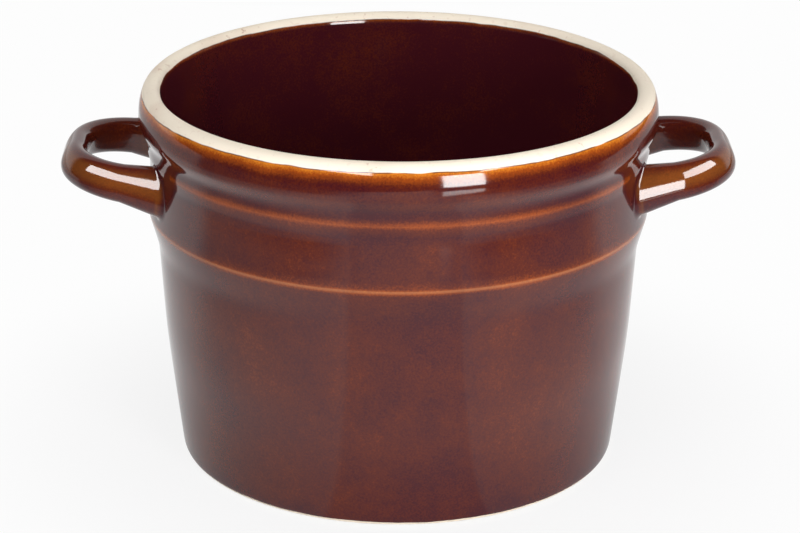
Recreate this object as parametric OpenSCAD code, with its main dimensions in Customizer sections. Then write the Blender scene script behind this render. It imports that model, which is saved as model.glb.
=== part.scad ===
// Stoneware pickling crock: one fired pot with a round lip, two raised ridges and two loop handles.
// Millimetres, Z up. The origin is the centre of the foot, and X runs through the handles.

/* [Body] */
// Height from the foot to the crest of the lip
height = 150.3; // [140:0.1:190]
// Radius at the foot, where the wall would meet the ground
foot_r = 86.4; // [78:0.2:90]
// Rounding of the outer foot edge
foot_round = 3; // [1:0.5:6]
// Radius of the wall at its belly
belly_r = 92.4; // [89:0.2:94]
// Height of the belly above the ground
belly_z = 50; // [30:1:70]
// Radius of the wall where the lower ridge begins to flare
shoulder_r = 94.6; // [92.5:0.1:96]
// Thickness of the wall
wall_t = 6.8; // [5:0.2:10]
// Thickness of the floor
floor_t = 9; // [6:0.5:14]
// Rounding between wall and floor, inside
floor_round = 14; // [6:1:24]
// Width of the flat ring that the pot stands on
foot_land = 8; // [5:0.5:14]
// Depth of the hollow inside that ring
foot_hollow = 1.2; // [0.6:0.2:2.4]

/* [Lip] */
// Outer radius of the lip
lip_r = 100.1; // [98:0.1:103]
// Rounding of the lip's outer side, which ends at the crest
lip_outer_round = 4.4; // [3:0.1:6]
// Rounding of the lip's inner side, which starts at the crest
lip_inner_round = 2.9; // [2:0.1:4.4]
// Angle above level at which the outer rounding starts
lip_outer_tilt = 24; // [10:1:40]
// Angle above level at which the inner rounding ends
lip_inner_tilt = 20; // [10:1:40]
// How far the bead below the lip stands out past it
bead_out = 1.3; // [0.4:0.1:2.4]
// Depth of the bead's lower edge below the crest of the lip
bead_drop = 13.1; // [11.4:0.1:16]
// Rounding of the bead's lower edge
bead_round = 12; // [4:1:14]
// Height of the bead's upright side
bead_h = 4.2; // [2:0.2:6]
// Rounding of the bead's upper edge
bead_top_round = 27; // [10:1:40]
// Height of the slope between the bead and the lip
slope_h = 3.8; // [2:0.2:5]
// How far that slope draws in
slope_in = 0.5; // [0.2:0.1:1]
// Rounding between that slope and the lip
slope_round = 13.5; // [4:0.5:20]

/* [Ridges] */
// Radius of both ridges
ridge_r = 98.3; // [97.4:0.1:100]
// Rounding of each ridge's edge
ridge_round = 2; // [0.8:0.2:3.6]
// Depth of the upper ridge below the crest of the lip
upper_drop = 24.1; // [22.5:0.1:27]
// Distance between the two ridges
ridge_gap = 25.8; // [20:0.2:36]
// Height of the flare below the lower ridge
flare_h = 13; // [8:0.5:20]
// Radius of the band where it meets the step below the upper ridge
band_r = 97; // [95.2:0.1:97.6]
// Radius of the neck between the upper ridge and the bead
neck_r = 98.1; // [96:0.1:99]
// Height of the neck above the upper ridge
neck_rise = 4.6; // [3:0.2:8]
// Depth of the step below the upper ridge
step_drop = 5.2; // [3:0.2:8]
// Height of the flare above the lower ridge
band_rise = 5.2; // [3:0.2:8]
// How far the band has flared out there
band_out = 1; // [0:0.1:1.4]

/* [Roundings] */
// Rounding of the wall at its belly
belly_round = 300; // [100:10:600]
// Rounding where the wall meets the flare
flare_round = 28; // [8:1:50]
// Rounding of the band above the lower ridge
band_round = 30; // [4:1:40]
// Rounding of the step below the upper ridge
step_round = 5; // [2:0.5:10]
// Rounding of the neck
neck_round = 14; // [4:1:20]
// How far the inner wall closes in right below the lip
rim_in = 0.3; // [0.2:0.1:0.4]
// Depth of that place below the crest of the lip
rim_drop = 3.4; // [3:0.1:5]
// Rounding of the inner wall there
rim_round = 8; // [2:1:20]
// How far the inner wall closes in at its throat
throat_in = 0.5; // [0.4:0.1:1.5]
// Depth of the throat below the crest of the lip
throat_drop = 9.3; // [7:0.1:14]
// Rounding of the throat
throat_round = 40; // [10:5:80]
// Rounding of the inner wall behind the flare
inner_round = 200; // [50:10:400]

/* [Handles] */
// How far the middle of the bar reaches past the ridges
handle_reach = 28.5; // [24:0.5:40]
// Distance between the two arms, middle to middle, at their bends
handle_w = 57.8; // [54:0.2:76]
// Radius of each bend, at the middle of the bar
bend_r = 24; // [14:0.5:26]
// How much each arm closes in on the other
arm_angle = 8.5; // [0:0.5:14]
// Thickness of the bar, seen from above
bar_t = 9; // [7:0.2:12]
// Height of the bar
bar_h = 13.8; // [10:0.2:17]
// Squareness of the bar's oval section, where 2 is an ellipse
bar_square = 2.4; // [2:0.1:4]
// Depth of the handle's root below the crest of the lip
root_drop = 31.8; // [30:0.2:38]
// Upward tilt of the handles
handle_tilt = 7; // [0:0.1:12]
// How much lower the left handle sits than the right one
left_drop = 0.9; // [0:0.1:3]
// Thickness of the bar's root at the wall
root_t = 11.8; // [9.4:0.2:16]
// Height of the bar's root at the wall
root_h = 19.6; // [17:0.2:24]
// Length over which the root narrows to the bar
root_length = 17; // [10:0.5:20]
// How much lower the root's middle lies than the bar's
root_sag = 1.6; // [0:0.1:4]
// Hollowness of the root's flare, where 1 is a straight cone
root_hollow = 1.5; // [1:0.1:3]

/* [Hidden] */
round_fn = 144;
// Steps round the root
root_fn = 48;
// Largest turn of one straight step along a rounded corner, in degrees
step_angle = 7;
// Points round the bar's section
section_steps = 28;
// Steps along the growing root
root_steps = 6;
// Share of a side that a rounding may take beside another one, so that the two never meet
corner_share = 0.48;
// Share that it may take beside a sharp corner
sharp_share = 0.96;
// Turn in degrees below which a corner counts as straight and stays a point
straight_turn = 0.05;
glaze_brown = "saddlebrown";

lip_mid_r = lip_r - lip_outer_round;
lip_in_r = lip_mid_r - lip_inner_round;
bead_z = height - bead_drop;
bead_top_z = bead_z + bead_h;
slope_z = bead_top_z + slope_h;
upper_z = height - upper_drop;
lower_z = upper_z - ridge_gap;
shoulder_z = lower_z - flare_h;
neck_z = upper_z + neck_rise;
step_z = upper_z - step_drop;
band_z = lower_z + band_rise;
hollow_r = foot_r - foot_round - foot_land;
root_z = height - root_drop;

// Corner list helpers. A corner is [radius from the axis, height, rounding].
function unit(v) = v / norm(v);
function flat(p) = [p.x, p.y];
function share(corner) = corner.z > 0 ? corner_share : sharp_share;

// Points of the arc that rounds corner b between its neighbours a and c.
function corner_arc(a, b, c) =
    let (
        to_a = flat(a - b),
        to_c = flat(c - b),
        back = unit(to_a),
        ahead = unit(to_c),
        half = min(acos(max(-1, min(1, back * ahead))), 180 - straight_turn) / 2,
        reach = min(b.z / tan(half), share(a) * norm(to_a), share(c) * norm(to_c)),
        fit_r = reach * tan(half),
        centre = flat(b) + unit(back + ahead) * (fit_r / sin(half)),
        from = flat(b) + back * reach - centre,
        turn_dir = cross([back.x, back.y, 0], [ahead.x, ahead.y, 0]).z > 0 ? -1 : 1,
        turn = 180 - 2 * half,
        steps = max(2, ceil(turn / step_angle))
    )
    [
        for (i = [0 : steps])
            let (q = turn_dir * turn * i / steps)
            centre + [from.x * cos(q) - from.y * sin(q), from.x * sin(q) + from.y * cos(q)]
    ];

// A line through the corners with every corner rounded, its two ends kept as they are.
function rounded(list) =
    let (last = len(list) - 1)
    [
        flat(list[0]),
        for (i = [1 : last - 1])
            each (
                list[i].z > 0
                ? corner_arc(list[i - 1], list[i], list[i + 1])
                : [flat(list[i])]
            ),
        flat(list[last])
    ];

// A place on the lip's rounding r, at an angle above level. At 90 degrees it is the crest.
function lip_point(r, q) = [lip_mid_r + r * cos(q), height - r + r * sin(q)];

// The places between two such angles, without the ends.
function lip_arc(r, start, end) =
    let (steps = ceil((end - start) / step_angle))
    [for (i = [1 : steps - 1]) lip_point(r, start + (end - start) * i / steps)];

function outer_corners() = [
    [0, foot_hollow, 0],
    [hollow_r - foot_hollow, foot_hollow, 0],
    [hollow_r, 0, 0],
    [foot_r, 0, foot_round],
    [belly_r, belly_z, belly_round],
    [shoulder_r, shoulder_z, flare_round],
    [ridge_r, lower_z, ridge_round],
    [band_r + band_out, band_z, band_round],
    [band_r, step_z, step_round],
    [ridge_r, upper_z, ridge_round],
    [neck_r, neck_z, neck_round],
    [lip_r + bead_out, bead_z, bead_round],
    [lip_r + bead_out, bead_top_z, bead_top_round],
    [lip_r + bead_out - slope_in, slope_z, slope_round],
    [each lip_point(lip_outer_round, lip_outer_tilt), 0]
];

function inner_corners() = [
    [each lip_point(lip_inner_round, 180 - lip_inner_tilt), 0],
    [lip_in_r - rim_in, height - rim_drop, rim_round],
    [lip_in_r - throat_in, height - throat_drop, throat_round],
    [shoulder_r - wall_t, shoulder_z, inner_round],
    [foot_r - wall_t, floor_t, floor_round],
    [0, floor_t, 0]
];

// The thrown pot: its section turned about Z.
module pot() {
    rotate_extrude($fn = round_fn)
        polygon(concat(
            rounded(outer_corners()),
            lip_arc(lip_outer_round, lip_outer_tilt, 90),
            [[lip_mid_r, height]],
            lip_arc(lip_inner_round, 90, 180 - lip_inner_tilt),
            rounded(inner_corners())
        ));
}

// Oval section of the handle's bar, standing upright.
function oval_point(q, t, h) = [
    t / 2 * sign(cos(q)) * pow(abs(cos(q)), 2 / bar_square),
    h / 2 * sign(sin(q)) * pow(abs(sin(q)), 2 / bar_square)
];

module bar_section() {
    polygon([for (i = [0 : section_steps - 1]) oval_point(360 * i / section_steps, bar_t, bar_h)]);
}

// Places of the handle's plan, about the pot's axis.
end_x = ridge_r + handle_reach;
bend_x = end_x - bend_r;
bend_y = handle_w / 2 - bend_r * cos(arm_angle);
arm_x = bend_x + bend_r * sin(arm_angle);
arm_y = bend_y + bend_r * cos(arm_angle);
arm_start_x = shoulder_r - wall_t;
arm_length = (arm_x - arm_start_x) / cos(arm_angle);
root_y = arm_y + (arm_x - arm_start_x) * tan(arm_angle);
end_length = 2 * bend_y;

// One straight arm, from inside the wall to its bend.
module arm() {
    translate([arm_x, arm_y, 0])
        rotate([90, 0, -90 - arm_angle])
            linear_extrude(arm_length)
                bar_section();
}

// The root: an oval foot on the wall that narrows into the bar in a hollow curve.
module root() {
    narrow = min(bar_t / root_t, bar_h / root_h);
    slope = atan(root_sag / root_length);
    wall_x = sqrt(pow(band_r, 2) - pow(root_y, 2));
    far_x = wall_x + root_length * cos(arm_angle);
    far_y = root_y - (far_x - arm_start_x) * tan(arm_angle);
    curve = [
        for (i = [0 : root_steps])
            let (u = i / root_steps)
            [narrow + (1 - narrow) * pow(u, root_hollow), root_length * u]
    ];
    foot = root_length + wall_t / 2;
    translate([far_x, far_y, 0])
        rotate([0, -90 - slope, -arm_angle])
            scale([root_h / 2, root_t / 2, 1])
                rotate_extrude($fn = root_fn)
                    polygon(concat([[0, 0]], curve, [[1, foot], [0, foot]]));
}

// One bend, swept about its own upright axis.
module bend() {
    translate([bend_x, bend_y, 0])
        rotate_extrude(angle = 90 - arm_angle, $fn = round_fn)
            translate([bend_r, 0])
                bar_section();
}

// The short straight end that joins the two bends.
module end_bar() {
    translate([end_x, bend_y, 0])
        rotate([90, 0, 0])
            linear_extrude(end_length)
                bar_section();
}

module loop() {
    end_bar();
    for (side = [0, 1])
        mirror([0, side, 0]) {
            arm();
            root();
            bend();
        }
}

// Solid that fills the pot to the middle of its wall, so that the roots stop there.
module core() {
    rotate_extrude($fn = round_fn)
        polygon([
            [0, shoulder_z],
            [shoulder_r - wall_t / 2, shoulder_z],
            [lip_mid_r, height],
            [0, height]
        ]);
}

module handle(drop) {
    difference() {
        translate([ridge_r, 0, root_z - drop])
            rotate([0, -handle_tilt, 0])
                translate([-ridge_r, 0, 0])
                    loop();
        core();
    }
}

module crock() {
    color(glaze_brown) {
        pot();
        handle(0);
        mirror([1, 0, 0])
            handle(left_drop);
    }
}

crock();
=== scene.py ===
# %% [markdown]
# A glazed stoneware crock
#
# The real object is one piece of clay: a pot thrown on the wheel, with two pulled handles
# luted on, dipped in a brown glaze and fired. This lesson dresses its imported CAD solid.
# We load that solid first, as a fixed frame in metres.

# %% Load the frame
import math

import bmesh
import bpy
import numpy as np
from mathutils import Matrix


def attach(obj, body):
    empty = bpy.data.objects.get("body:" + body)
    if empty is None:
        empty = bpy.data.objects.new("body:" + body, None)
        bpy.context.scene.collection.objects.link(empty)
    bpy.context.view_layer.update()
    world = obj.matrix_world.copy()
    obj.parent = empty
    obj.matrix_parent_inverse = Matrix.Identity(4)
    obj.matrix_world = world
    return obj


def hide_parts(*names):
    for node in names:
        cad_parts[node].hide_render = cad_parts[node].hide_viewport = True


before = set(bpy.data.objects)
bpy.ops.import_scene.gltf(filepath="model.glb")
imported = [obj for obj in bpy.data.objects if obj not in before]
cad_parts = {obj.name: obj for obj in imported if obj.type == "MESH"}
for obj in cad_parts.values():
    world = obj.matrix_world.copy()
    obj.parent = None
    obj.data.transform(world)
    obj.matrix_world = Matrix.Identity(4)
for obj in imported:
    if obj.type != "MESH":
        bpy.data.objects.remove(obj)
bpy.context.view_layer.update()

MM = 0.001

# %% [markdown]
# The driving sizes
#
# These are the sizes of the pot itself, in millimetres. A corner of the section is
# a radius, a height and a rounding, the way a turner would read it off a drawing.

# %% Sizes of the pot
HEIGHT = 150.3
FOOT_R = 86.2
FOOT_HOLLOW = 1.2
HOLLOW_R = 75.0
BELLY_R = 92.2
BELLY_Z = 50.0
SHOULDER_R = 94.6
FLARE_H = 13.0
RIDGE_R = 98.3
RIDGE_ROUND = 2.0
LOWER_RIDGE_Z = 100.4
UPPER_RIDGE_Z = 126.2
BAND_LOW_R = 97.95
BAND_HIGH_R = 97.1
BAND_MARGIN = 5.2
NECK_R = 98.1
NECK_RISE = 4.6
BEAD_R = 101.5
LIP_MID_R = 95.7
LIP_OUTER_ROUND = 4.4
LIP_INNER_ROUND = 2.9
LIP_OUTER_TILT = 24.0
LIP_INNER_TILT = 20.0
RIM_R = 92.45
THROAT_R = 92.3
WALL_T = 6.8
FLOOR_T = 9.0

shoulder_z = LOWER_RIDGE_Z - FLARE_H
OUTER_CORNERS = [
    [0.0, FOOT_HOLLOW, 0.0],
    [HOLLOW_R - FOOT_HOLLOW, FOOT_HOLLOW, 1.0],
    [HOLLOW_R, 0.0, 0.6],
    [FOOT_R, 0.0, 3.0],
    [BELLY_R, BELLY_Z, 300.0],
    [SHOULDER_R, shoulder_z, 28.0],
    [RIDGE_R, LOWER_RIDGE_Z, RIDGE_ROUND],
    [BAND_LOW_R, LOWER_RIDGE_Z + BAND_MARGIN, 30.0],
    [BAND_HIGH_R, UPPER_RIDGE_Z - BAND_MARGIN, 5.0],
    [RIDGE_R, UPPER_RIDGE_Z, RIDGE_ROUND],
    [NECK_R, UPPER_RIDGE_Z + NECK_RISE, 14.0],
    [BEAD_R, 136.4, 8.0],
    [BEAD_R - 0.1, 139.0, 30.0],
    [BEAD_R - 0.33, 142.4, 14.0],
    [BEAD_R - 0.9, 145.3, 14.0],
]
INNER_CORNERS = [
    [RIM_R, 146.9, 8.0],
    [THROAT_R, 141.0, 40.0],
    [SHOULDER_R - WALL_T, shoulder_z, 200.0],
    [FOOT_R - WALL_T, FLOOR_T, 14.0],
    [0.0, FLOOR_T, 0.0],
]
print("corners of the section:", len(OUTER_CORNERS) + len(INNER_CORNERS))

# %% [markdown]
# The section of the pot
#
# A section drawn with arcs and straight lines has small breaks in its curvature, and a
# glossy glaze shows each of them as a hard line. A sponge on the wheel has none. So we
# round the corners first and then run a short Gaussian blur along the whole line.

# %% Draw the section
BLUR_LENGTH = 0.8
BEND_BLUR_LENGTH = 0.4
FINE_STEP = 0.1
ARC_STEP = 2.0
SIDE_SHARE = 0.48


def unit(v):
    """A vector divided by its length, along the last axis."""
    return v / np.linalg.norm(v, axis=-1, keepdims=True)


def round_corners(corners):
    """The line through the corners. Each corner b between the ends becomes the arc that
    touches both sides, with its centre on the bisector at rounding / sin(half the angle). Two
    rounded neighbours share the side between them. Beside an end an arc may take nearly all."""
    places = np.array(corners)[:, :2]
    share = [SIDE_SHARE if corner[2] > 0 else 2 * SIDE_SHARE for corner in corners]
    line = [places[0]]
    for i in range(1, len(corners) - 1):
        b = places[i]
        back, ahead = places[i - 1] - b, places[i + 1] - b
        room = min(share[i - 1] * np.linalg.norm(back), share[i + 1] * np.linalg.norm(ahead))
        back, ahead = unit(back), unit(ahead)
        half = np.arccos(np.clip(back @ ahead, -1, 1)) / 2
        reach = min(room, corners[i][2] / np.tan(half))
        radius = reach * np.tan(half)
        centre = b + unit(back + ahead) * radius / np.sin(half)
        start = b + back * reach - centre
        cross = back[0] * ahead[1] - back[1] * ahead[0]
        turn = -np.sign(cross) * (np.pi - 2 * half)
        steps = max(3, math.ceil(abs(math.degrees(turn)) / ARC_STEP))
        q = np.linspace(0, turn, steps + 1)[:, None]
        side = np.array([-start[1], start[0]])
        line.extend(centre + start * np.cos(q) + side * np.sin(q))
    line.append(places[-1])
    return np.array(line)


def lip_arc(radius, start, end):
    """Part of the lip's top: an arc whose highest point is the crest. Its radius from the
    pot's axis is middle + radius cos q, and its height is crest - radius + radius sin q."""
    q = np.radians(np.arange(start, end + 1, ARC_STEP))
    return np.column_stack([LIP_MID_R + radius * np.cos(q), HEIGHT - radius + radius * np.sin(q)])


def along(line, step):
    """Points at equal distances along a line, about one step apart."""
    length = np.append(0, np.cumsum(np.linalg.norm(np.diff(line, axis=0), axis=1)))
    s = np.linspace(0, length[-1], int(length[-1] / step) + 1)
    return np.column_stack([np.interp(s, length, line[:, 0]), np.interp(s, length, line[:, 1])]), s


def blurred(values, width):
    """Gaussian blur along a line of equally spaced values, which keeps both of its ends."""
    reach = int(4 * width / FINE_STEP)
    k = np.exp(-0.5 * (np.arange(-reach, reach + 1) * FINE_STEP / width) ** 2)
    before = 2 * values[0] - values[reach:0:-1]
    after = 2 * values[-1] - values[-2:-reach - 2:-1]
    return np.convolve(np.concatenate([before, values, after]), k / k.sum(), "valid")


outer_lip = lip_arc(LIP_OUTER_ROUND, LIP_OUTER_TILT, 90.0)
inner_lip = lip_arc(LIP_INNER_ROUND, 90.0, 180.0 - LIP_INNER_TILT)
section = np.vstack([
    round_corners(OUTER_CORNERS + [[*outer_lip[0], 0.0]]),
    outer_lip[1:],
    inner_lip[1:-1],
    round_corners([[*inner_lip[-1], 0.0]] + INNER_CORNERS),
])
section, section_s = along(section, FINE_STEP)
section = np.column_stack([blurred(section[:, 0], BLUR_LENGTH), blurred(section[:, 1], BLUR_LENGTH)])
section[:, 0] = np.maximum(section[:, 0], 0)
heading = np.unwrap(np.arctan2(np.gradient(section[:, 1]), np.gradient(section[:, 0])))
bend_rate = blurred(np.gradient(heading, FINE_STEP), BEND_BLUR_LENGTH)
crest_index = int(np.argmax(section[:, 1]))
outer = section[:crest_index + 1]
print("section length in mm:", round(section_s[-1], 1), "lip crest at", np.round(outer[-1], 1))


def wall_radius(z):
    """Radius of the outer wall at a height."""
    return np.interp(z, outer[:, 1], outer[:, 0])


# %% [markdown]
# Rows and columns
#
# The pot is its section turned about the axis: a point is (r cos a, r sin a, z). The
# columns are even, and the rows lie closer together where the section bends, because a
# gloss shows the facets there first.

# %% Place the rows and columns
COLUMNS = 256
ROWS = 200
ROW_LENGTH = 3.2
ROW_TURN = math.radians(9)

cost = np.append(0, np.cumsum(FINE_STEP / ROW_LENGTH + np.abs(np.diff(heading)) / ROW_TURN))
row_s = np.interp(np.linspace(0, cost[-1], ROWS), cost, section_s)
row_r = np.interp(row_s, section_s, section[:, 0])
row_z = np.interp(row_s, section_s, section[:, 1])
row_bend = np.interp(row_s, section_s, bend_rate)
lip_row = int(np.argmax(row_z))
angles = np.linspace(0, 2 * np.pi, COLUMNS, endpoint=False)
print("rows:", ROWS, "columns:", COLUMNS, "rows outside:", lip_row)

# %% [markdown]
# The handles
#
# Each handle is a pulled strap of clay, oval in section, that leaves the wall, bends
# round and comes back. We carry the oval along half of that path and mirror the rest.

# %% Sizes of the handles
HANDLE_REACH = 28.5
HANDLE_W = 57.8
BEND_R = 24.0
ARM_ANGLE = math.radians(8.5)
BAR_T = 9.0
BAR_H = 13.8
BAR_SQUARE = 2.3
BAR_LEAN = math.radians(7)
FACE_SLANT = 0.16
BEND_GROWTH = 0.18
ROOT_Z = HEIGHT - 31.8
ROOT_T = 11.8
ROOT_H = 19.6
ROOT_SQUARE = 2.1
ROOT_SAG = 1.6
FILLET = 1.6
TILT = math.radians(7.0)
LEFT_DROP = 0.9
SLIDE_STEPS = 30

end_x = RIDGE_R + HANDLE_REACH
bend_x = end_x - BEND_R
bend_y = HANDLE_W / 2 - BEND_R * math.cos(ARM_ANGLE)
arm_x = bend_x + BEND_R * math.sin(ARM_ANGLE)
arm_y = bend_y + BEND_R * math.cos(ARM_ANGLE)
print("handle reaches", round(end_x + BAR_T / 2, 1), "mm from the axis")


def oval(q, thick, high, square):
    """Half-thickness times |cos q| to the power 2/square, and the same for the height with
    sin q: an ellipse at 2, fuller in its corners above that. Its outer face slants back
    towards the top, and then the whole section leans a little the same way."""
    c, s = np.cos(q), np.sin(q)
    power = 2 / square
    up = high / 2 * np.sign(s) * np.abs(s) ** power
    out = thick / 2 * np.sign(c) * np.abs(c) ** power - FACE_SLANT * up * np.maximum(c, 0)
    lean_c, lean_s = math.cos(BAR_LEAN), math.sin(BAR_LEAN)
    return out * lean_c - up * lean_s, out * lean_s + up * lean_c


def growth(u):
    """How far the arm has grown towards its root. It grows evenly, from the share that the
    bend has given it at u = 0 to 1 on the wall at u = 1."""
    return BEND_GROWTH + (1 - BEND_GROWTH) * u


def tilted(points, drop):
    """Handle points turned upwards about the line on the wall where the handle starts."""
    x, y, z = points[..., 0] - RIDGE_R, points[..., 1], points[..., 2]
    c, s = math.cos(TILT), math.sin(TILT)
    return np.stack([RIDGE_R + x * c - z * s, y, ROOT_Z - drop + x * s + z * c], axis=-1)


def onto_wall(points, direction):
    """Points slid along a direction until their distance from the axis is the wall's. Each
    step divides what is missing by how much the direction leads away from the axis."""
    slid = points.copy()
    for _ in range(SLIDE_STEPS):
        r = np.hypot(slid[:, 0], slid[:, 1])
        miss = r - wall_radius(slid[:, 2])
        outward = (slid[:, 0] * direction[0] + slid[:, 1] * direction[1]) / r
        slid = slid - (miss / outward)[:, None] * direction
    return slid


# %% [markdown]
# Windows for the handles
#
# A boolean union would leave a hard seam of thin triangles where clay meets clay, so we
# sew the handle in instead. A window is left out of the pot's grid, and rings of points
# run from its edge over the wall, up the fillet and along the arm. So each ring has one
# point for each point of that edge.

# %% Leave the windows
WINDOW_LOW_Z = 101.6
WINDOW_HIGH_Z = 133.4
WINDOW_COLUMNS = 14
ROOT_X = 91.1
ROOT_SHIFT = 2.3

low_row = int(np.searchsorted(row_z[:lip_row], WINDOW_LOW_Z))
high_row = int(np.searchsorted(row_z[:lip_row], WINDOW_HIGH_Z))
root_turn = math.atan2(arm_y + ROOT_SHIFT, ROOT_X)
mid_column = root_turn / (2 * np.pi) * COLUMNS
left_column = int(round(mid_column - WINDOW_COLUMNS / 2))
right_column = left_column + WINDOW_COLUMNS


def window_edge():
    """Rows and columns of the window's edge, anticlockwise seen from outside, starting at
    its lower corner near the handle's middle plane."""
    rows = np.arange(low_row, high_row)
    columns = np.arange(left_column, right_column)
    for_columns = np.ones(len(columns), int)
    for_rows = np.ones(len(rows), int)
    row = [low_row * for_columns, rows, high_row * for_columns, rows[::-1] + 1]
    column = [columns, right_column * for_rows, columns[::-1] + 1, left_column * for_rows]
    return np.concatenate(row), np.concatenate(column)


edge_row, edge_column = window_edge()
across = (edge_column - (left_column + right_column) / 2) / (WINDOW_COLUMNS / 2)
edge_height = row_z[edge_row]
upward = (edge_height - (edge_height.min() + edge_height.max()) / 2) / (np.ptp(edge_height) / 2)
ring_q = np.arctan2(upward, across)
ring_size = len(ring_q)
print("points in a ring:", ring_size, "window rows:", high_row - low_row)

# %% [markdown]
# Glaze on a handle
#
# A melted glaze leaves the crown of a face and gathers on its lower side, and it is thin
# at the sharp foot of the joint. So each point of a ring gets a thinness and a pooling,
# from its angle q in the section and from how near it is to the wall.

# %% Thin and thick places of a handle
FACE_MIDDLE_Q = 0.25
FACE_POWER = 7
FACE_THIN = 0.30
JOINT_U = 0.90
JOINT_LENGTH = 0.06
JOINT_THIN = 0.5
LOW_EDGE_RISE = 0.4

outward_side = (1 + np.cos(ring_q)) / 2
mid_face = np.clip(np.cos(ring_q - FACE_MIDDLE_Q), 0, 1) ** FACE_POWER
lower_face = np.clip(-np.sin(ring_q), 0, 1)
low_edge = np.clip(-np.sin(ring_q) + LOW_EDGE_RISE, 0, 1) * outward_side


def glaze_thinness(u):
    """Thin along the middle of the outer face, thick on the inner face except near the
    wall, and almost bare at the lowest edge beside the joint. u is 1 on the wall."""
    face = 0.02 * outward_side + FACE_THIN * mid_face
    inner_face = (1 - outward_side) * (0.04 + 0.3 * u)
    beside_joint = math.exp(-((u - JOINT_U) / JOINT_LENGTH) ** 2)
    return face + inner_face + JOINT_THIN * beside_joint * low_edge


print("thinnest glaze on the bend:", round(float(glaze_thinness(0.0).max()), 2))

# %% [markdown]
# Rings of a handle
#
# From the window to the handle's middle there are five stretches: over the wall to the
# fillet, up the fillet, along the root, round the bend and along the straight end.

# %% Rings of a half handle
WALL_RINGS = 9
FILLET_RINGS = 8
ROOT_RINGS = 18
BEND_RINGS = 32
END_RINGS = 5
UP = np.array([0.0, 0.0, 1.0])


def bar_ring(middle, out, grow, extra=0.0):
    """The bar's section round a point of its middle line: middle + a out + b up, where a and
    b are the oval's, grown towards the root's section by a share and by an extra all round."""
    thick = BAR_T + (ROOT_T - BAR_T) * grow
    high = BAR_H + (ROOT_H - BAR_H) * grow
    square = BAR_SQUARE + (ROOT_SQUARE - BAR_SQUARE) * grow
    a, b = oval(ring_q, thick + 2 * extra, high + 2 * extra, square)
    return middle + a[:, None] * out + (b - ROOT_SAG * grow)[:, None] * UP


def half_handle(drop):
    """Rings of the half handle on the +Y side of the +X handle, from the window's edge to
    the handle's middle, with the glaze's thinness and pooling at each point."""
    arm_dir = np.array([math.cos(ARM_ANGLE), -math.sin(ARM_ANGLE), 0.0])
    arm_side = np.array([math.sin(ARM_ANGLE), math.cos(ARM_ANGLE), 0.0])
    arm_end = np.array([arm_x, arm_y, 0.0])
    world_dir = tilted(arm_end + arm_dir, drop) - tilted(arm_end, drop)
    rings, thins, pools = [], [], []

    def arm_ring(grow, extra=0.0):
        """The section at the arm's outer end, grown by a share, in its place on the pot."""
        return tilted(bar_ring(arm_end, arm_side, grow, extra), drop)

    def root_ring(u):
        """A ring part of the way along the root, with u = 1 on the wall."""
        return arm_ring(growth(u)) + (u * slide)[:, None] * world_dir

    def add(ring, thin, pool):
        """Keeps a ring, with the glaze's thinness and pooling on it."""
        rings.append(ring)
        thins.append(thin + 0 * ring_q)
        pools.append(pool + 0 * ring_q)

    corner = onto_wall(arm_ring(1.0), world_dir)
    foot = onto_wall(arm_ring(1.0, FILLET), world_dir)
    slide = (corner - arm_ring(1.0)) @ world_dir
    fillet_share = FILLET / np.abs(slide).mean()
    near = root_ring(1 - fillet_share)

    foot_turn = np.arctan2(foot[:, 1], foot[:, 0])
    edge_turn = edge_column / COLUMNS * 2 * np.pi
    for v in np.linspace(0, 1, WALL_RINGS)[1:]:
        ease = v * (3 - v) / 2
        turn = edge_turn + (foot_turn - edge_turn) * ease
        z = edge_height + (foot[:, 2] - edge_height) * ease
        r = wall_radius(z)
        add(np.column_stack([r * np.cos(turn), r * np.sin(turn), z]), 0.0, 0.5 * v ** 2)
    for v in np.linspace(0, 1, FILLET_RINGS)[1:]:
        curve = (1 - v) ** 2 * foot + 2 * v * (1 - v) * corner + v ** 2 * near
        add(curve, glaze_thinness(1.0) * v, 0.6 + 0.9 * math.sin(math.pi * v) - 0.6 * v)
    for u in np.linspace(1 - fillet_share, 0, ROOT_RINGS)[1:]:
        add(root_ring(u), glaze_thinness(u), lower_face)
    whole_bend = math.pi / 2 - ARM_ANGLE
    for q in np.linspace(whole_bend, 0, BEND_RINGS)[1:]:
        out = np.array([math.cos(q), math.sin(q), 0.0])
        middle = np.array([bend_x, bend_y, 0.0]) + BEND_R * out
        ring = bar_ring(middle, out, BEND_GROWTH * (q / whole_bend) ** 2)
        add(tilted(ring, drop), glaze_thinness(0.0), lower_face)
    for y in np.linspace(bend_y, 0, END_RINGS)[1:]:
        ring = bar_ring(np.array([end_x, y, 0.0]), np.array([1.0, 0.0, 0.0]), 0.0)
        add(tilted(ring, drop), glaze_thinness(0.0), lower_face)
    return np.stack(rings), np.stack(thins), np.stack(pools)


print("rings in a half handle:", len(half_handle(0.0)[0]))

# %% [markdown]
# One closed mesh
#
# The pot's grid, without its windows, and the four half handles share the points where
# they meet. The mesh also keeps what the glaze needs to know at each point: how thin it
# runs on crests, how it pools in hollows, and whether the point is inside or on a handle.

# %% Join pot and handles in one mesh
def quads(grid):
    """Faces between neighbours in a grid of point numbers that closes on itself sideways."""
    a, b = grid[:-1], grid[1:]
    return np.stack([a, np.roll(a, -1, 1), np.roll(b, -1, 1), b], axis=-1).reshape(-1, 4)


def pot_points():
    """Every row turned about the axis. The first and last rows are the two poles."""
    r, z = row_r[1:-1, None], row_z[1:-1, None]
    ring = np.stack([r * np.cos(angles), r * np.sin(angles), z + 0 * angles], axis=-1)
    pole_low = [[0, 0, row_z[0]]]
    pole_high = [[0, 0, row_z[-1]]]
    return np.vstack([ring.reshape(-1, 3), pole_low, pole_high])


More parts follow.
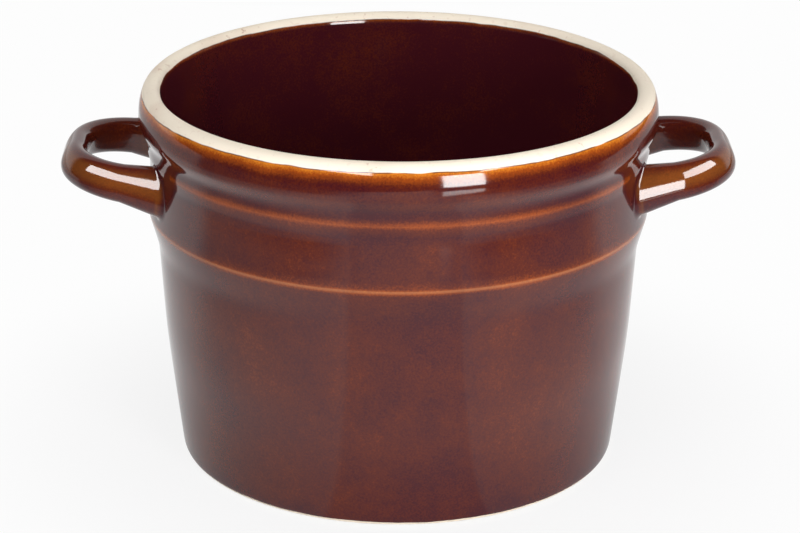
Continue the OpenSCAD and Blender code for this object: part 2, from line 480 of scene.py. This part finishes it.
def over_pot(of_row, poles):
    """A value for each row, given to all of its points, and one for each pole."""
    return np.append(np.repeat(of_row[1:-1], COLUMNS), poles)


CREST_BEND = 0.22
HOLLOW_BEND = 0.16
RIDGES_LOW_Z = 60.0
RIDGES_HIGH_Z = 130.0

outer_rows = np.arange(ROWS) <= lip_row
upper_rows = outer_rows * (row_z > RIDGES_LOW_Z)
crest_of_row = np.clip(row_bend / CREST_BEND, 0, 1) * upper_rows * (row_z < RIDGES_HIGH_Z)
hollow_of_row = np.clip(-row_bend / HOLLOW_BEND, 0, 1) * upper_rows

pot_grid = np.arange((ROWS - 2) * COLUMNS).reshape(ROWS - 2, COLUMNS)
keep = np.ones((ROWS - 3, COLUMNS), bool)
points = [pot_points()]
thins = [over_pot(crest_of_row, [0, 0])]
pools = [over_pot(hollow_of_row, [0, 0])]
faces = []
pot_count = count = len(points[0])

for turned in (0, 1):
    rings, thin, pool = half_handle(LEFT_DROP if turned else 0.0)
    for mirrored in (0, 1):
        length = len(rings) - mirrored
        placed = rings[:length] * [-1 if turned else 1, -1 if mirrored else 1, 1]
        grid = np.arange(count, count + length * ring_size).reshape(length, ring_size)
        column = -edge_column if mirrored else edge_column
        column = COLUMNS // 2 - column if turned else column
        start = pot_grid[edge_row - 1, column % COLUMNS]
        faces.append(quads(np.vstack([start, grid, middle_ring] if mirrored else [start, grid])))
        if not mirrored:
            middle_ring = grid[-1]
        points.append(placed.reshape(-1, 3))
        thins.append(thin[:length].ravel())
        pools.append(pool[:length].ravel())
        count += grid.size
        window = np.arange(min(column), max(column))
        keep[np.ix_(np.arange(low_row, high_row) - 1, window % COLUMNS)] = False

quad_faces = np.vstack([quads(pot_grid)[keep.ravel()]] + faces)
low_ring, high_ring = pot_grid[0], pot_grid[-1]
low_pole, high_pole = pot_count - 2, pot_count - 1
fans = np.vstack([
    np.column_stack([low_ring, np.full(COLUMNS, low_pole), np.roll(low_ring, -1)]),
    np.column_stack([high_ring, np.roll(high_ring, -1), np.full(COLUMNS, high_pole)]),
])
used, renumbered = np.unique(np.concatenate([quad_faces.ravel(), fans.ravel()]), return_inverse=True)
quad_faces = renumbered[:quad_faces.size].reshape(-1, 4)
fans = renumbered[quad_faces.size:].reshape(-1, 3)
places = np.vstack(points)[used] * MM
handle_count = count - pot_count
glaze_layers = {
    "thin": np.concatenate(thins)[used],
    "pool": np.concatenate(pools)[used],
    "inner": np.append(over_pot(1.0 - outer_rows, [0, 1]), np.zeros(handle_count))[used],
    "handle": np.append(np.zeros(pot_count), np.ones(handle_count))[used],
}


def mesh_from(name, places, quad_faces, fans, layers):
    """One mesh from arrays of places and of faces with four and three corners, with layers
    of values at its points."""
    mesh = bpy.data.meshes.new(name)
    mesh.vertices.add(len(places))
    mesh.vertices.foreach_set("co", places.ravel())
    corners = np.concatenate([quad_faces.ravel(), fans.ravel()])
    sizes = np.concatenate([np.full(len(quad_faces), 4), np.full(len(fans), 3)])
    mesh.loops.add(len(corners))
    mesh.loops.foreach_set("vertex_index", corners)
    mesh.polygons.add(len(sizes))
    mesh.polygons.foreach_set("loop_start", np.append(0, np.cumsum(sizes)[:-1]))
    mesh.polygons.foreach_set("use_smooth", np.ones(len(sizes), bool))
    for layer, values in layers.items():
        mesh.attributes.new(layer, "FLOAT", "POINT").data.foreach_set("value", values)
    mesh.update(calc_edges=True)
    mesh.validate()
    body = bmesh.new()
    body.from_mesh(mesh)
    bmesh.ops.recalc_face_normals(body, faces=body.faces)
    open_edges = sum(1 for e in body.edges if not e.is_manifold)
    body.to_mesh(mesh)
    volume = body.calc_volume(signed=True)
    body.free()
    print(name, "faces:", len(sizes), "open edges:", open_edges, "clay in ml:", round(volume * 1e6, 1))
    piece = bpy.data.objects.new(name, mesh)
    bpy.context.scene.collection.objects.link(piece)
    return piece


crock = mesh_from("glazed_crock", places, quad_faces, fans, glaze_layers)
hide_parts("crock")
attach(crock, "root")

# %% [markdown]
# Shader maths as expressions
#
# Long chains of nodes are easier to read as sums. A small class wraps a socket, and its
# operators add Math nodes. One method makes every other node.

# %% A bench for materials
class Value:
    """A socket with numbers in it, which can be added, multiplied and so on."""

    def __init__(self, bench, socket):
        self.bench = bench
        self.socket = socket

    def math(self, operation, *others, first=True):
        """A Math node on this value and others. first says whether this value leads."""
        terms = [self, *others] if first else [*others, self]
        return self.bench.node("ShaderNodeMath", {"operation": operation}, dict(enumerate(terms)))

    def __add__(self, other):
        return self.math("ADD", other)

    __radd__ = __add__

    def __sub__(self, other):
        return self.math("SUBTRACT", other)

    def __rsub__(self, other):
        return self.math("SUBTRACT", other, first=False)

    def __mul__(self, other):
        return self.math("MULTIPLY", other)

    __rmul__ = __mul__

    def __truediv__(self, other):
        return self.math("DIVIDE", other)

    def __rtruediv__(self, other):
        return self.math("DIVIDE", other, first=False)

    def __pow__(self, other):
        return self.math("POWER", other)

    def clip(self):
        """The value held between 0 and 1."""
        return self.bench.node("ShaderNodeClamp", {}, {"Value": self})

    def rise(self, low, high):
        """0 below low, 1 above high, with a smooth step between."""
        sockets = {"Value": self, "From Min": low, "From Max": high}
        return self.bench.node("ShaderNodeMapRange", {"interpolation_type": "SMOOTHSTEP"}, sockets)


class Bench:
    """A node tree, and methods that add nodes to it."""

    def __init__(self, owner):
        owner.use_nodes = True
        self.tree = owner.node_tree
        self.tree.nodes.clear()

    def node(self, kind, settings=None, sockets=None, out=0):
        """Adds a node, sets it up, fills its sockets and returns one of its outputs."""
        made = self.tree.nodes.new(kind)
        for key, value in (settings or {}).items():
            if key == "stops":
                self.stops(made, value)
            else:
                setattr(made, key, value)
        for key, value in (sockets or {}).items():
            if isinstance(value, Value):
                self.tree.links.new(value.socket, made.inputs[key])
            else:
                made.inputs[key].default_value = value
        return Value(self, made.outputs[out]) if made.outputs else None

    def stops(self, ramp, stops):
        """Sets a colour ramp's stops from a list of (place, colour)."""
        elements = ramp.color_ramp.elements
        while len(elements) < len(stops):
            elements.new(1.0)
        for element, (place, colour) in zip(elements, stops):
            element.position = place
            element.color = (*colour, 1.0)

    def mix(self, factor, a, b):
        """Two colours mixed by a factor. A plain colour gets its fourth number here."""
        a, b = [(*colour, 1.0) if isinstance(colour, tuple) else colour for colour in (a, b)]
        return self.node("ShaderNodeMix", {"data_type": "RGBA"}, {0: factor, 6: a, 7: b}, out=2)

    def blend(self, factor, a, b):
        """Two shaders mixed by a factor."""
        return self.node("ShaderNodeMixShader", {}, {0: factor, 1: a, 2: b})

    def noise(self, vector, scale, detail=2.0):
        """Fractal noise about 0.5."""
        sockets = {"Vector": vector, "Scale": scale, "Detail": detail}
        return self.node("ShaderNodeTexNoise", {}, sockets)

    def attribute(self, name):
        """The values that the mesh keeps for each point."""
        return self.node("ShaderNodeAttribute", {"attribute_name": name}, {}, out=2)

    def ray(self, kind):
        """1 where the ray that meets the surface is of a kind, and otherwise 0."""
        return self.node("ShaderNodeLightPath", {}, {}, out=kind)

    def place(self, output=3):
        """The object's own coordinates in metres, or with output 0 in a world's tree a ray's
        direction: vector, x, y and z."""
        vector = self.node("ShaderNodeTexCoord", {}, {}, out=output)
        parts = [self.node("ShaderNodeSeparateXYZ", {}, {"Vector": vector}, out=i) for i in range(3)]
        return vector, *parts


# %% [markdown]
# The glaze
#
# A brown iron glaze is a coloured glass over pale clay. Where it lies thick it is dark,
# nearly maroon. It runs thin over ridges and below the lip, and there the clay glows
# through it in amber. So one value, the thickness, drives the colour, and a clear glossy
# surface lies over everything. The lip and the foot were wiped, and are bare clay.

# %% Glaze and clay
THICK_GLAZE = (0.050, 0.0060, 0.0100)
GLAZE = (0.102, 0.0155, 0.0062)
AMBER = (0.30, 0.058, 0.0065)
THIN_AMBER = (0.64, 0.195, 0.016)
PALE_EDGE = (0.66, 0.36, 0.17)
HANDLE_BROWN = (0.19, 0.066, 0.012)
CLAY = (0.88, 0.775, 0.63)
CLAY_STAIN = (0.52, 0.30, 0.20)
GLAZE_EDGE = (0.10, 0.035, 0.015)
GLAZE_STOPS = [(0.0, THIN_AMBER), (0.35, AMBER), (0.75, GLAZE), (1.0, THICK_GLAZE)]
GLAZE_OUTER_Z = 147.3
GLAZE_INNER_Z = 147.9
LIP_RUN = 5.2
RIM_RUN = 1.6
USUAL_DEPTH = 0.85
LIP_LOSS = 0.85
RIM_LOSS = 0.55
POOL_GAIN = 0.16
INSIDE_GAIN = 0.14
FOOT_PAINTED_SHADE = 0.08
GLAZE_ROUGH = 0.07
CLAY_ROUGH = 0.69
GLAZE_IOR = 1.52
BUMP_STRENGTH = 0.10
BUMP_HEIGHT = 0.4


def clay_colour(bench, vector, x, y):
    """Pale clay with blotches, stronger at the left, and specks, stronger at the back."""
    speck = bench.noise(vector, 420.0, 3.0).rise(0.60, 0.70)
    blotch = bench.noise(vector, 30.0, 3.0).rise(0.52, 0.72)
    left = x.rise(-86 * MM, -98 * MM)
    back = y.rise(88 * MM, 96 * MM)
    stain = blotch * (0.25 + speck * 0.75) + speck * (0.2 + back * 0.5) + left * blotch * 0.2
    return bench.mix(stain.clip() * 0.7, CLAY, CLAY_STAIN)


def glazed_clay():
    """Brown glaze on pale clay, with a bare lip and a bare foot. The glaze's depth is what is
    usual, less its losses near the lip and on the ridges, with its gains where it pools, and
    deeper just above the foot as painted shade."""
    material = bpy.data.materials.new("brown_glaze_on_clay")
    bench = Bench(material)
    vector, x, y, z = bench.place()
    radius = (x * x + y * y) ** 0.5
    ragged = bench.noise(vector, 90.0, 3.0) - 0.5
    cloudy = bench.noise(vector, 34.0, 2.0) - 0.5
    mottle = bench.noise(vector, 260.0, 2.0) - 0.5
    fine = bench.noise(vector, 1300.0, 2.0) - 0.5
    thin = bench.attribute("thin")
    pool = bench.attribute("pool")
    inside = bench.attribute("inner")

    outside = radius.rise((LIP_MID_R - 1.0) * MM, (LIP_MID_R + 1.0) * MM)
    glaze_top = (GLAZE_INNER_Z + (GLAZE_OUTER_Z - GLAZE_INNER_Z) * outside) * MM
    below_lip = (glaze_top - z + ragged * MM) / MM
    above_table = z / MM
    near_lip = (1 - below_lip / LIP_RUN).clip() ** 1.2 * outside
    near_rim = (1 - below_lip / RIM_RUN).clip() * (1 - outside) * inside
    on_ridge = thin * (0.72 + mottle * 0.5 + ragged * 0.3)
    # Painted shade: the glaze turns deeper and darker over the lowest ten millimetres of the outer
    # wall.
    foot_shade = above_table.rise(9.5, 3.5) * (1 - inside)
    depth = USUAL_DEPTH - near_lip * LIP_LOSS - near_rim * RIM_LOSS - on_ridge
    depth = depth + pool * POOL_GAIN + inside * INSIDE_GAIN + foot_shade * FOOT_PAINTED_SHADE
    depth = depth + cloudy * 0.42 + ragged * 0.10 + mottle * 0.16 + fine * 0.50
    glaze = bench.node("ShaderNodeValToRGB", {"stops": GLAZE_STOPS}, {"Fac": depth.clip()})
    glaze = bench.mix(thin.rise(0.04, 0.30) * bench.attribute("handle") * 0.5, glaze, HANDLE_BROWN)
    glaze = bench.mix(thin.rise(0.45, 1.0) * 0.6, glaze, PALE_EDGE)

    bare_lip = below_lip.rise(0.16, -0.16)
    bare_foot = (above_table + ragged * 0.8).rise(1.85, 1.45) * (1 - inside)
    bare = (bare_lip + bare_foot).clip()
    edge_band = below_lip.rise(-0.25, 0.0) * below_lip.rise(0.45, 0.15)
    edge_line = edge_band * bench.noise(vector, 55.0, 2.0).rise(0.40, 0.55)
    colour = bench.mix(bare, glaze, clay_colour(bench, vector, x, y))
    colour = bench.mix(edge_line * 0.85, colour, GLAZE_EDGE)

    swell = bench.noise(vector, 130.0, 2.0) * 0.6 + fine * 0.05
    grain = bench.noise(vector, 1400.0, 2.0) * bare * 0.35
    bump = bench.node("ShaderNodeBump", {}, {
        "Strength": BUMP_STRENGTH, "Distance": BUMP_HEIGHT * MM, "Height": swell + grain})
    rough = bare * (CLAY_ROUGH - GLAZE_ROUGH) + GLAZE_ROUGH
    surface = bench.node("ShaderNodeBsdfPrincipled", {}, {
        "Base Color": colour, "Roughness": rough, "IOR": GLAZE_IOR, "Normal": bump})
    bench.node("ShaderNodeOutputMaterial", {}, {"Surface": surface})
    return material


crock.data.materials.append(glazed_clay())
print("materials:", [m.name for m in crock.data.materials])

# %% [markdown]
# The table
#
# A glossy glaze is mostly a picture of its room. The upright wall mirrors the white
# table, which veils its brown with grey, and where the mirrored table ends the brown is
# clear. So the table glows white for the camera, with a painted shadow round the foot, and in
# reflections it glows with edges and painted shade.

# %% Table
TABLE_SIZE = 6.0
TABLE_FRONT = -0.85
TABLE_FRONT_SKEW = 0.50
TABLE_RIGHT = 0.705
TABLE_RIGHT_SKEW = 0.455
EDGE_BLUR = 0.03
GAP_LEFT = -0.33
GAP_RIGHT = 0.43
SHEEN_LEFT = 0.22
SHEEN_RIGHT = 0.85
SHEEN_START = -0.52
SHEEN_FULL = -0.55
VEIL_LOSS = 0.08
GAP_LOSS = 0.20
SIDE_LOSS = 0.50
FOOT_LOSS = 0.32
FAR_LOSS = 0.35
PAINTED_SHADOW_DEPTH = 0.14
WHITE = (1.0, 1.0, 1.0, 1.0)
MATTE_WHITE = (0.80, 0.80, 0.81, 1.0)
PAST_TABLE = (0.02, 0.02, 0.022, 1.0)


def table_material():
    """A white table that glows white for the camera, with a painted shadow round the foot over
    the faint real shadow that it keeps. In the glaze it glows too and ends at its slanting
    front and right edges, past which it is painted black for the dark room. There it has
    painted shade: a little darker in front, beside the pot, far away at both sides and round
    the foot, and to the right of the front its polish mirrors the lamp."""
    material = bpy.data.materials.new("white_table")
    bench = Bench(material)
    x, y = bench.place()[1:3]
    camera = bench.ray("Is Camera Ray")
    glossy = bench.ray("Is Glossy Ray")
    away = (x * x + y * y) ** 0.5
    sideways = (x * x) ** 0.5
    slant = x / (0 - y).math("MAXIMUM", 0.001)

    # Painted shade in the table's glow, seen only in reflections: darker in front, beside the pot,
    # round the foot and far off at the sides.
    in_gap = slant.rise(GAP_LEFT - 0.06, GAP_LEFT) * slant.rise(GAP_RIGHT + 0.04, GAP_RIGHT)
    beside = sideways.rise(0.10, 0.36) * y.rise(0.05, -0.05)
    foot_shade = away.rise(0.15, 0.085)
    far = away.rise(0.46, 0.56) * sideways.rise(0.12, 0.30)
    painted_shade = VEIL_LOSS + in_gap * GAP_LOSS + beside * SIDE_LOSS + foot_shade * FOOT_LOSS + far * FAR_LOSS
    matte = bench.node("ShaderNodeBsdfDiffuse", {}, {"Color": MATTE_WHITE})
    white = bench.node("ShaderNodeEmission", {}, {"Color": WHITE, "Strength": 1 - glossy * painted_shade})
    # Painted shadow: the table's white for the camera is darker round the foot.
    seen_white = camera * (0.96 - away.rise(0.22, 0.09) * PAINTED_SHADOW_DEPTH) + glossy * 0.95
    lifted = bench.blend(seen_white, matte, white)

    # Past its front and right edges the table is painted black in reflections, for the dark room.
    past_front = (y - TABLE_FRONT + x * TABLE_FRONT_SKEW).rise(EDGE_BLUR, -EDGE_BLUR)
    past_right = (x - TABLE_RIGHT - y * TABLE_RIGHT_SKEW).rise(-EDGE_BLUR, EDGE_BLUR)
    black = bench.node("ShaderNodeEmission", {}, {"Color": PAST_TABLE, "Strength": 1.0})
    ended = bench.blend((past_front + past_right).clip() * glossy, lifted, black)

    polish = bench.node("ShaderNodeBsdfAnisotropic", {}, {"Color": WHITE, "Roughness": 0.06})
    in_sheen = slant.rise(SHEEN_LEFT, SHEEN_LEFT + 0.04) * slant.rise(SHEEN_RIGHT + 0.04, SHEEN_RIGHT)
    fresnel = bench.node("ShaderNodeFresnel", {}, {"IOR": 1.5})
    sheen = in_sheen * y.rise(SHEEN_START, SHEEN_FULL) * fresnel
    surface = bench.blend(sheen * glossy, ended, polish)
    bench.node("ShaderNodeOutputMaterial", {}, {"Surface": surface})
    return material


half = TABLE_SIZE / 2
corners = [[-half, -half, 0], [half, -half, 0], [half, half, 0], [-half, half, 0]]
table = bpy.data.objects.new("table", bpy.data.meshes.new("table"))
table.data.from_pydata(corners, [], [[0, 1, 2, 3]])
table.data.materials.append(table_material())
bpy.context.scene.collection.objects.link(table)
print("table:", TABLE_SIZE, "m wide")

# %% [markdown]
# The room and its lamps
#
# The upper side of the bead and the tops of the handles mirror the dark front of the room
# and glow in pure amber. Behind the pot the room is white. One low lamp makes the long
# stripes on the right, two high panels show in what faces upwards, and a soft lamp
# overhead gives light and no reflection.

# %% Room and lamps
ROOM_LIGHT = 0.56
ROOM_DARK = 0.03
ROOM_BRIGHT = 0.95
LAMP_AWAY = 1.0
BRIGHT = 18.0
PANEL_BRIGHT = BRIGHT * 0.8
SKY_SIZE = 1.6
SKY_POWER = 11.0
SKY_PLACE = (-0.3, -1.2, 1.65)
SKY_TURN = (math.radians(38), 0, math.radians(-14))


def room():
    """White for the camera, an even soft light for the clay, and for reflections dark in
    front and white behind."""
    world = bpy.data.worlds.new("room")
    bpy.context.scene.world = world
    bench = Bench(world)
    x, y = bench.place(0)[1:3]
    camera = bench.ray("Is Camera Ray")
    glossy = bench.ray("Is Glossy Ray")
    behind = (y / (x * x + y * y + 0.0001) ** 0.5).rise(0.30, 0.50)
    seen = behind * (ROOM_BRIGHT - ROOM_DARK) + ROOM_DARK
    strength = ROOM_LIGHT * (1 - camera) * (1 - glossy) + camera + glossy * seen
    light = bench.node("ShaderNodeBackground", {}, {"Color": WHITE, "Strength": strength})
    bench.node("ShaderNodeOutputWorld", {}, {"Surface": light})


def area_lamp(name, shape, sizes, power, place, turn):
    """An area lamp of a width and a height, at a place, turned about X, Y and Z."""
    data = bpy.data.lights.new(name, "AREA")
    data.shape = shape
    data.size, data.size_y = sizes
    data.energy = power
    lamp = bpy.data.objects.new(name, data)
    lamp.location = place
    lamp.rotation_euler = turn
    bpy.context.scene.collection.objects.link(lamp)
    return lamp


def softbox(name, turn, low, high, width, bright):
    """An upright rectangular lamp at a turn from straight in front, facing the pot. Its
    power is pi times its area times the brightness that a reflection of it shows."""
    place = (LAMP_AWAY * math.sin(turn), -LAMP_AWAY * math.cos(turn), (low + high) / 2)
    power = math.pi * width * (high - low) * bright
    return area_lamp(name, "RECTANGLE", (width, high - low), power, place, (math.pi / 2, 0, turn))


room()
bpy.context.scene.view_settings.view_transform = "Standard"
softbox("low_lamp", math.radians(25.6), 0.045, 0.42, 0.30, BRIGHT)
left_panel = softbox("left_panel", math.radians(-47.0), 0.54, 1.02, 1.40, PANEL_BRIGHT)
right_panel = softbox("right_panel", math.radians(64.0), 0.52, 0.98, 1.15, PANEL_BRIGHT)
for panel in (left_panel, right_panel):
    panel.visible_diffuse = False
sky = area_lamp("sky", "DISK", (SKY_SIZE, SKY_SIZE), SKY_POWER, SKY_PLACE, SKY_TURN)
sky.visible_glossy = False
sky.visible_camera = False

# %% [markdown]
# The camera
#
# The photograph was taken from about a metre away with a long lens, looking down. Its
# place is given by a distance, an elevation and a small turn about the pot.

# %% Camera
CAMERA_AWAY = 1.2
CAMERA_ELEVATION = math.radians(21.17)
CAMERA_YAW = math.radians(-0.8)
CAMERA_ROLL = math.radians(0.30)
CAMERA_AIM = (0.82, 0.0, 72.86)
FOCAL_PIXELS = 3012
IMAGE_WIDTH = 800
SENSOR_WIDTH = 36.0
FAR_CLIP = 50


def camera():
    """The camera looks at its aim from that distance. Its axes are worked out one by one:
    backwards, to the right and up."""
    c, s = math.cos(CAMERA_YAW), math.sin(CAMERA_YAW)
    turn = np.array([[c, -s, 0], [s, c, 0], [0, 0, 1]])
    back = turn @ [0, -math.cos(CAMERA_ELEVATION), math.sin(CAMERA_ELEVATION)]
    level = turn @ [1, 0, 0]
    upright = np.cross(back, level)
    right = level * math.cos(CAMERA_ROLL) + upright * math.sin(CAMERA_ROLL)
    up = np.cross(back, right)
    place = turn @ (np.array(CAMERA_AIM) * MM) + back * CAMERA_AWAY
    data = bpy.data.cameras.new("camera")
    data.sensor_fit = "HORIZONTAL"
    data.sensor_width = SENSOR_WIDTH
    data.lens = FOCAL_PIXELS / IMAGE_WIDTH * SENSOR_WIDTH
    data.clip_end = FAR_CLIP
    eye = bpy.data.objects.new("camera", data)
    rows = np.column_stack([right, up, back, place]).tolist() + [[0, 0, 0, 1]]
    eye.matrix_world = Matrix(rows)
    bpy.context.scene.collection.objects.link(eye)
    bpy.context.scene.camera = eye
    print("camera at", [round(float(v), 3) for v in place])


camera()
